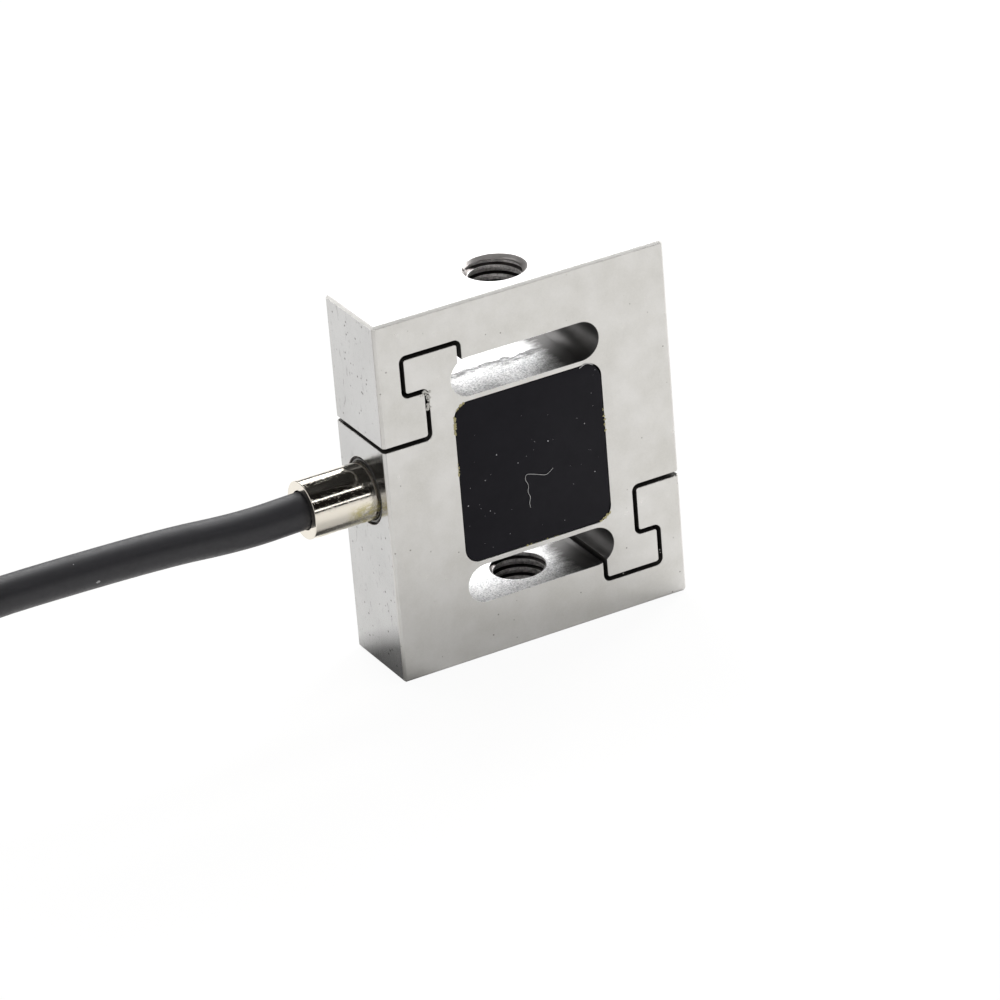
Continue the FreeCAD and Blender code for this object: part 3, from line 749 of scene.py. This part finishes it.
def make_leads(finishes, tinned):
    """Insulated leads with twisted tips, and the screen's drain wire."""
    end, along, across, up = tail_frame()
    pieces = []
    strands = []
    for colour, route in LEAD_ROUTES.items():
        i, k = LEAD_PLACES[colour]
        root = end + across * (i * LEAD_OFFSET) + up * (k * LEAD_OFFSET)
        points = [root, root + along * SLEEVE_BEYOND, *route]
        lead = to_mesh(curve("lead_wire_" + colour, points, LEAD_DIAMETER, sides=4))
        pieces.append(place(lead, "core_" + colour, "lead_" + colour, material=finishes[colour]))
        tip = (Vector(points[-1]) - Vector(points[-2])).normalized()
        strands += twisted_strands(Vector(points[-1]) - tip, tip, TIP_LENGTH + 1.0)
    tips = join("lead_tip_strands", strands)
    tidy_mesh(tips)
    pieces.append(place(tips, "tinned_copper", "lead_tips", material=tinned))
    points = [end, end + along * SLEEVE_BEYOND, *DRAIN_ROUTE]
    drain = to_mesh(curve("screen_drain_wire", points, DRAIN_DIAMETER, sides=3))
    pieces.append(place(drain, "tinned_copper", "screen_drain", material=tinned))
    return pieces


def twisted_strands(start, along, length):
    """Fine strands laid round one in the middle."""
    across = along.cross(Vector((0, 0, 1))).normalized()
    up = across.cross(along)
    middle = [start, start + along * (length - 0.2)]
    made = [to_mesh(curve("strand", middle, STRAND_THICK, resolution=2, sides=2))]
    for number in range(STRAND_COUNT):
        points = []
        for step in range(STRAND_STEPS + 1):
            share = step / STRAND_STEPS
            a = 2 * math.pi * (number / STRAND_COUNT + STRAND_TURNS * share)
            out = STRAND_THICK * (1 + 0.12 * share)
            points.append(
                start + along * (length * share) + across * (out * math.cos(a))
                + up * (out * math.sin(a)))
        made.append(to_mesh(curve("strand", points, STRAND_THICK, resolution=3, sides=2)))
    return made


# Spring element


def thread_cutter(name, base):
    """A ridge wound round the load axis, upwards from the base in millimetres. Its section is a
    60 degree V with a blunt root. It is wound as a single face, since cuts across the section
    would leave walls inside the ridge."""
    bpy.ops.mesh.primitive_plane_add(
        size=2 * MM, location=(0, 0, base * MM), rotation=(math.pi / 2, 0, 0))
    ridge = named(name)

    def is_level(edge):
        a, b = [ridge.data.vertices[v].co for v in edge.vertices]
        return abs(a.z - b.z) < NEAR

    pick(ridge, "EDGE", is_level)
    bpy.ops.mesh.subdivide(number_cuts=len(THREAD_SECTION) - 2)
    leave()
    columns = sorted({round(v.co.x, 7) for v in ridge.data.vertices})
    for column, (radius, half) in zip(columns, THREAD_SECTION):
        pick(ridge, "VERT", lambda v, column=column: abs(v.co.x - column) < NEAR and not v.hide)
        bpy.ops.transform.resize(value=(1, 1, half), center_override=(column, 0, base * MM))
        bpy.ops.transform.translate(value=(radius * MM - column, 0, 0))
        bpy.ops.mesh.hide(unselected=False)
        leave()
    edit_all(ridge)
    bpy.ops.mesh.reveal()
    bpy.ops.mesh.dissolve_faces(use_verts=False)
    leave()
    modify(
        ridge, "SCREW", axis="Z", angle=math.tau, screw_offset=THREAD_PITCH * MM,
        iterations=THREAD_TURNS, steps=THREAD_STEPS, render_steps=THREAD_STEPS,
        use_smooth_shade=False)
    edit_all(ridge)
    bpy.ops.mesh.remove_doubles(threshold=MERGE)
    bpy.ops.mesh.select_all(action="SELECT")
    bpy.ops.mesh.fill_holes(sides=0)
    bpy.ops.mesh.select_all(action="SELECT")
    bpy.ops.mesh.normals_make_consistent(inside=False)
    leave()
    return ridge


# Finishes of the spring element, in the order of its material slots
BLOCK_FINISHES = (
    ground_steel, side_steel, milled_steel, eroded_steel, turned_steel, broken_edge,
    countersunk_steel,
)
GROUND, SIDES, MILLED, ERODED, TURNED, BROKEN, COUNTERSUNK = range(len(BLOCK_FINISHES))


def surface_kind(face):
    """Which of BLOCK_FINISHES a face of the spring element has."""
    centre = face.center / MM
    x, y, z = centre.x, centre.y, centre.z - HALF_HEIGHT
    normal = face.normal
    from_axis = math.hypot(x, y)
    slanting = 0.4 < abs(normal.z) < 0.9
    at_entry = x < 1.1 - HALF_WIDTH and math.hypot(y, z) < ENTRY_RADIUS + 0.2
    if at_entry and abs(normal.x) < 0.99:
        return COUNTERSUNK
    if abs(y) > HALF_THICK - 0.01:
        return GROUND
    if MOUTH_RADIUS - 0.9 < from_axis < MOUTH_RADIUS and abs(z) > HALF_HEIGHT - 0.9 and slanting:
        return COUNTERSUNK
    if abs(z) > WINDOW_RISE + 3.1 and from_axis < MOUTH_RADIUS and abs(normal.z) < 0.99:
        return TURNED
    if abs(x) > HALF_WIDTH - 0.5 or abs(z) > HALF_HEIGHT - 0.5:
        if max(abs(n) for n in normal) > 0.99:
            return SIDES
        return BROKEN if z > HALF_HEIGHT - 0.5 else GROUND
    in_window = abs(abs(z) - WINDOW_RISE) < WINDOW_HEIGHT / 2 + 0.05
    if abs(x) < WINDOW_LENGTH / 2 + 0.05 and in_window:
        return MILLED
    if abs(y) > HALF_THICK - 0.45 and abs(normal.y) > 0.3:
        return GROUND
    if x < -POCKET_HALF_WIDTH and abs(z) < CABLE_BORE_REACH:
        return TURNED
    if abs(x) < POCKET_HALF_WIDTH + 0.1 and abs(z) < POCKET_HALF_HEIGHT + 0.25:
        return MILLED
    return ERODED


def make_spring_element(finishes):
    body = copy_of("spring_element", "spring_element_body")
    pick(body, "FACE", lambda f: True)
    bpy.ops.mesh.dissolve_limited(angle_limit=math.radians(0.4), use_dissolve_boundaries=False)
    leave()
    modify(
        body, "BEVEL", width=0.07 * MM, segments=2, limit_method="ANGLE",
        angle_limit=math.radians(35), use_clamp_overlap=False, miter_outer="MITER_ARC")
    for name, base in THREAD_BASES.items():
        cutter = thread_cutter(name, base)
        modify(body, "BOOLEAN", operation="DIFFERENCE", solver="EXACT", object=cutter)
        bpy.data.objects.remove(cutter)
    for finish in finishes:
        body.data.materials.append(finish)
    for face in body.data.polygons:
        face.material_index = surface_kind(face)
    choose(body)
    bpy.ops.object.shade_smooth_by_angle(angle=math.radians(32))
    for face in body.data.polygons:
        if max(abs(n) for n in face.normal) > 0.99995:
            face.use_smooth = False
    return place(body, "body_steel", "spring_element")


# Cover pads


def make_pad(name, node, side, sheet):
    """Hand-cut black sheet, flush with the face: one corner is cut in facets and one slantwise."""
    low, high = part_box(node)
    size = high - low
    middle = (low + high) / 2
    bpy.ops.mesh.primitive_cube_add(size=1, location=middle)
    bpy.context.object.scale = size
    pad = named(name)

    def at_corner(edge, i, k):
        a, b = [pad.data.vertices[v].co for v in edge.vertices]
        outside = all(
            (p.x - middle.x) * i > PAD_CORNER_SHARE * size.x
            and (p.z - middle.z) * k > PAD_CORNER_SHARE * size.z
            for p in (a, b))
        return outside and abs(a.y - b.y) > 0.5 * size.y

    for (i, k), (radius, segments) in PAD_CORNERS.items():
        pick(pad, "EDGE", lambda edge, i=i * side, k=k: at_corner(edge, i, k))
        profile = 0.5 if segments > 2 else 0.45
        bpy.ops.mesh.bevel(offset=radius * MM, segments=segments, profile=profile)
        leave()
    modify(
        pad, "BEVEL", width=0.08 * MM, segments=2, limit_method="ANGLE",
        angle_limit=math.radians(40))
    tidy_mesh(pad)
    return place(pad, "cover_sheet", node, material=sheet)


# Ferrule


def make_ferrule(finish):
    """Plated tube with a flat end, a crisp rim and a clear gap round the jacket."""
    low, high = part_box("cable_ferrule")
    middle = (low + high) / 2 / MM
    ends = [(x / MM, middle.y, middle.z) for x in (low.x, high.x)]
    tube = cylinder("ferrule_tube", FERRULE_RADIUS, *ends, vertices=128)
    pick(tube, "FACE", lambda f: abs(f.normal.x) > 0.9)
    bpy.ops.mesh.inset(thickness=(FERRULE_RADIUS - FERRULE_BORE) * MM, use_individual=True)
    bpy.ops.mesh.delete(type="FACE")
    leave()

    def on_bore(edge):
        places = [tube.data.vertices[v].co for v in edge.vertices]
        reach = (FERRULE_BORE + 0.3) * MM
        return all(math.hypot(p.y - middle.y * MM, p.z - middle.z * MM) < reach for p in places)

    pick(tube, "EDGE", on_bore)
    bpy.ops.mesh.bridge_edge_loops()
    leave()
    tidy_mesh(tube)
    modify(
        tube, "BEVEL", width=0.13 * MM, segments=3, limit_method="ANGLE",
        angle_limit=math.radians(60))
    choose(tube)
    bpy.ops.object.shade_smooth_by_angle(angle=math.radians(35))
    return place(tube, "ferrule_nickel", "cable_ferrule", material=finish)


def make_seal(rubber):
    """Ring of sealing compound laid by hand in the recess round the ferrule."""
    low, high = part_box("ferrule_seal")
    middle = (low + high) / 2
    bpy.ops.mesh.primitive_torus_add(
        major_radius=SEAL_RADIUS * MM, minor_radius=SEAL_THICK * MM, major_segments=96,
        minor_segments=14, rotation=(0, math.pi / 2, 0), location=(low.x, middle.y, middle.z))
    bpy.context.object.scale = (1, 1, 1.5)
    ring = named("seal_ring")
    edit_all(ring)
    bpy.ops.transform.vertex_random(offset=0.02 * MM, seed=4)
    leave()
    tidy_mesh(ring, angle=60)
    return place(ring, "seal_compound", "ferrule_seal", material=rubber)


def dress_small_parts():
    """Finishes for the parts under the sheets and inside the ferrule, and for the lead sleeve."""
    rubber = Finish("potting_silicone", roughness=0.35)
    rubber.colour(rubber.blend(rubber.noise(2.0, 4.0), (0.02, 0.02, 0.02), (0.035, 0.035, 0.036)))
    rubber.bump(rubber.noise(1.2, 4.0), 0.08, 0.5)
    finishes = {
        "potting_silicone": rubber.material,
        "sleeve_black": plain_plastic("shrunk_sleeve", (0.016, 0.016, 0.017), 0.42),
        "solder": plain_metal("solder", (0.6, 0.6, 0.6), 0.25),
        "enamel_wire": plain_metal("enamelled_wire", (0.5, 0.25, 0.08), 0.25),
        "gauge_foil": plain_metal("gauge_foil", (0.55, 0.45, 0.33), 0.35),
        "gauge_film": plain_plastic("gauge_film", (0.6, 0.36, 0.1), 0.3),
        "board_laminate": plain_plastic("board_laminate", (0.1, 0.25, 0.12), 0.4),
        "resistor_ceramic": plain_plastic("resistor_ceramic", (0.08, 0.1, 0.14), 0.5),
        "core_red": plain_plastic("inner_core_red", (0.5, 0.03, 0.02)),
        "core_black": plain_plastic("inner_core_black", (0.02, 0.02, 0.02)),
        "core_green": plain_plastic("inner_core_green", (0.03, 0.3, 0.08)),
        "core_white": plain_plastic("inner_core_white", (0.8, 0.8, 0.78)),
    }
    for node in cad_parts.values():
        for slot in node.material_slots:
            if slot.material and slot.material.name in finishes:
                slot.material = finishes[slot.material.name]


# Traces of making and handling


def lumps(name, spots, sizes, squash, seed):
    """Small irregular grains at these places, as one piece. Millimetres."""
    draw = random.Random(seed)
    made = []
    for spot, size in zip(spots, sizes):
        bpy.ops.mesh.primitive_ico_sphere_add(subdivisions=2, radius=size * MM, location=mm(*spot))
        grain = bpy.context.object
        grain.scale = [s * draw.uniform(0.7, 1.3) for s in squash]
        grain.rotation_euler = (0, draw.uniform(0, math.pi), 0)
        grain = named("grain")
        edit_all(grain)
        bpy.ops.transform.vertex_random(offset=size * 0.25 * MM, seed=draw.randint(0, 999))
        leave()
        made.append(grain)
    whole = join(name, made)
    tidy_mesh(whole, angle=60)
    return whole


def make_hair(lint):
    """A bent hair and a curl of lint on the front sheet."""
    made = []
    for name, spots, thick in (("hair", HAIR, 0.075), ("curl", CURL, 0.1)):
        points = [(x, HAIR_Y - 0.05 * math.sin(2.1 * i), z) for i, (x, z) in enumerate(spots)]
        made.append(curve(name, points, thick, sides=1))
    whole = join("hair_and_lint", [to_mesh(piece) for piece in made])
    return place(whole, "cover_sheet", material=lint)


def make_dust(dust):
    """Specks on the front sheet: the larger ones in their places and fine ones between."""
    draw = random.Random(11)
    spots = [(x, DUST_Y, z) for x, z in SPECKS]
    for _ in range(FINE_SPECKS):
        spots.append((draw.uniform(*SPECKED_X), DUST_Y, draw.uniform(*SPECKED_Z)))
    sizes = [0.1] * len(SPECKS) + [draw.uniform(0.025, 0.06) for _ in range(FINE_SPECKS)]
    whole = lumps("sheet_dust", spots, sizes, squash=(1, 0.5, 1), seed=5)
    return place(whole, "cover_sheet", material=dust)


def make_glue(glue):
    """Adhesive squeezed out round the front sheet."""
    draw = random.Random(21)
    spots = []
    for (x0, z0), (x1, z1), count in GLUE_RUNS:
        for i in range(count):
            t = (i + draw.uniform(0.1, 0.9)) / count
            x = x0 + (x1 - x0) * t + draw.uniform(-0.14, 0.1)
            z = z0 + (z1 - z0) * t + draw.uniform(-0.1, 0.1)
            spots.append((x, GLUE_Y, z))
    sizes = [draw.uniform(0.07, 0.2) for _ in spots]
    whole = lumps("sheet_glue", spots, sizes, squash=(1, 0.4, 1.2), seed=8)
    return place(whole, "seal_compound", material=glue)


def make_debris(grit):
    """Packed grit in the left slit's neck, and a few grains in the right slit."""
    draw = random.Random(31)
    spots, sizes = [], []
    for i in range(PACKED_GRAINS):
        start, length = UPRIGHT_RUN if i % 3 else LEVEL_RUN
        along = start + length * draw.random()
        aside = draw.uniform(-GRIT_SPREAD, GRIT_SPREAD)
        if i % 3:
            spots.append((UPRIGHT_X + aside, GRIT_Y, along))
        else:
            spots.append((along, GRIT_Y, LEVEL_Z + aside))
        sizes.append(draw.uniform(0.1, 0.26))
    for x, z, size in LOOSE_GRAINS:
        spots.append((x, GRIT_Y, z))
        sizes.append(size)
    whole = lumps("slit_debris", spots, sizes, squash=(1, 0.6, 1), seed=13)
    return place(whole, "seal_compound", material=grit)


# Stage


def seen_share(tree, camera, glossy):
    """How much of the plain white a ray sees: one share for the camera's rays, and one for
    reflections and for what is seen through glue."""
    path = tree.nodes.new("ShaderNodeLightPath")
    shares = {"Is Camera Ray": camera, "Is Glossy Ray": glossy, "Is Transmission Ray": glossy}
    total = None
    for output, share in shares.items():
        part = tree.nodes.new("ShaderNodeMath")
        part.operation = "MULTIPLY_ADD"
        part.inputs[1].default_value = share
        part.inputs[2].default_value = 0.0
        tree.links.new(path.outputs[output], part.inputs[0])
        if total:
            tree.links.new(total, part.inputs[2])
        total = part.outputs[0]
    return total


def make_floor():
    """White paper that glows for the camera, so that only the deeper shadows show on it."""
    bpy.ops.mesh.primitive_plane_add(size=6)
    floor = named("floor")
    paper = Finish("white_paper", (0.9, 0.89, 0.87), roughness=0.9, specular_ior_level=0.1)
    glow = paper.node("ShaderNodeEmission").outputs[0]
    inputs = {0: seen_share(paper.tree, 0.93, 0.2), 1: paper.shader.outputs[0], 2: glow}
    mixed = paper.node("ShaderNodeMixShader", inputs).outputs[0]
    paper.link(mixed, paper.tree.nodes["Material Output"], "Surface")
    floor.data.materials.append(paper.material)


def facing(spot, target):
    """The rotation that turns a lamp or card at the spot towards the target."""
    return (Vector(target) - Vector(spot)).to_track_quat("-Z", "Y").to_euler()


def fade_out(matt, spot, size):
    """Makes a flat card clear towards its rim, and a little clear in its middle too."""
    inputs = {"Vector": matt.coords, "Location": spot, "Scale": (size[0] / 2, size[1] / 2, 1)}
    laid = matt.node("ShaderNodeMapping", inputs, vector_type="TEXTURE").outputs["Vector"]
    ball = matt.node("ShaderNodeTexGradient", {"Vector": laid}, gradient_type="SPHERICAL")
    matt.link(matt.spread(ball.outputs["Fac"], 0.0, 0.6, 0.0, 0.72), matt.shader, "Alpha")


def flag(name, spot, target, size, soft=False):
    """A black card beside the set that only reflections see. A soft one, laid on the floor as a
    painted shadow, fades out from its middle. Metres."""
    bpy.ops.mesh.primitive_plane_add(size=1)
    plane = bpy.context.object
    plane.scale = (*size, 1)
    plane.rotation_euler = facing(spot, target)
    plane.location = spot
    plane = named(name)
    matt = Finish(name, (0.008, 0.007, 0.006), specular_ior_level=0.0)
    if soft:
        fade_out(matt, spot, size)
    plane.data.materials.append(matt.material)
    plane.visible_camera = False
    plane.visible_shadow = False
    plane.visible_diffuse = False


def lamp(name, spot, target, size, radiance):
    """A soft lamp whose face has this brightness. Metres."""
    data = bpy.data.lights.new(name, "AREA")
    data.shape = "RECTANGLE"
    data.size, data.size_y = size
    data.energy = radiance * math.pi * size[0] * size[1]
    light = bpy.data.objects.new(name, data)
    light.location = spot
    light.rotation_euler = facing(spot, target)
    bpy.context.scene.collection.objects.link(light)


def make_world():
    world = bpy.data.worlds.new("studio")
    bpy.context.scene.world = world
    world.use_nodes = True
    tree = world.node_tree
    background = tree.nodes["Background"]
    background.inputs["Color"].default_value = (1, 1, 1, 1)
    level = tree.nodes.new("ShaderNodeMapRange")
    level.inputs["To Min"].default_value = 0.45
    level.inputs["To Max"].default_value = 1.0
    tree.links.new(seen_share(tree, 1.0, 1.0), level.inputs["Value"])
    tree.links.new(level.outputs["Result"], background.inputs["Strength"])


def round_x(angle, reach):
    """A place round the cable's axis, at this angle up from the front. Metres."""
    a = math.radians(angle)
    return (SET_X, -reach * math.cos(a), CENTRE.z + reach * math.sin(a))


def make_lights():
    """Soft light from behind and above, and two narrow strips in front, between black flags, with a dark
    card on the floor as a painted shadow for reflections.
    """
    middle = (SET_X, 0, CENTRE.z)
    lamp("rear_softbox", round_x(147, 1.3), middle, (2.6, 0.45), 3.4)
    lamp("upper_strip", round_x(47, 1.05), middle, (1.6, 0.06), 5)
    lamp("lower_strip", round_x(11, 1.05), middle, (1.6, 0.08), 2.6)
    lamp("overhead", (0.15, 0.0, 1.5), CENTRE, (0.6, 0.6), 4)
    lamp("rear_key", (0.1, 0.6, 1.1), CENTRE, (0.3, 0.3), 14)
    lamp("side_key", (0.81, 0.44, 0.62), CENTRE, (0.35, 0.25), 22)
    flag("top_flag", round_x(91, 1.2), middle, (3.0, 2.0))
    flag("front_flag", round_x(29, 1.25), middle, (3.0, 1.3))
    flag("rear_flag", round_x(167, 1.6), middle, (3.0, 0.35))
    flag("left_flag", (-0.55, 0.98, 0.58), CENTRE, (0.9, 0.7))
    # Painted shadow: a soft dark card on the floor left of the block, seen only in reflections, where the
    # block's shade on the floor falls.
    flag("painted_floor_shadow", mm(-28, -2, 0.1), mm(-28, -2, -9), (22 * MM, 27 * MM), soft=True)


def main():
    bpy.context.scene.view_settings.view_transform = "Standard"
    make_camera()
    cable, path = make_cable(cable_jacket())
    cores = {
        colour: plain_plastic("core_" + colour, shade) for colour, shade in LEAD_COLOURS.items()}
    tinned = plain_metal("tinned_copper", (0.7, 0.68, 0.64))
    tie = make_tie(plain_plastic("tie_black", (0.014, 0.014, 0.015), 0.35))
    leads = make_leads(cores, tinned)
    ferrule = make_ferrule(nickel())

    make_spring_element([finish() for finish in BLOCK_FINISHES])
    sheet = black_sheet()
    make_pad("front_cover_sheet", "front_cover_pad", 1, sheet)
    make_pad("rear_cover_sheet", "rear_cover_pad", -1, sheet)
    make_seal(plain_plastic("sealing_compound", (0.012, 0.012, 0.012), 0.25))
    dress_small_parts()
    make_hair(plain_plastic("pale_fibre", (0.5, 0.5, 0.5), 0.6))
    make_dust(plain_plastic("dust", (0.42, 0.42, 0.44), 0.8))
    make_glue(amber_glue())
    make_debris(plain_plastic("grey_grit", (0.5, 0.49, 0.46), 0.7))
    make_floor()
    make_world()
    make_lights()


main()
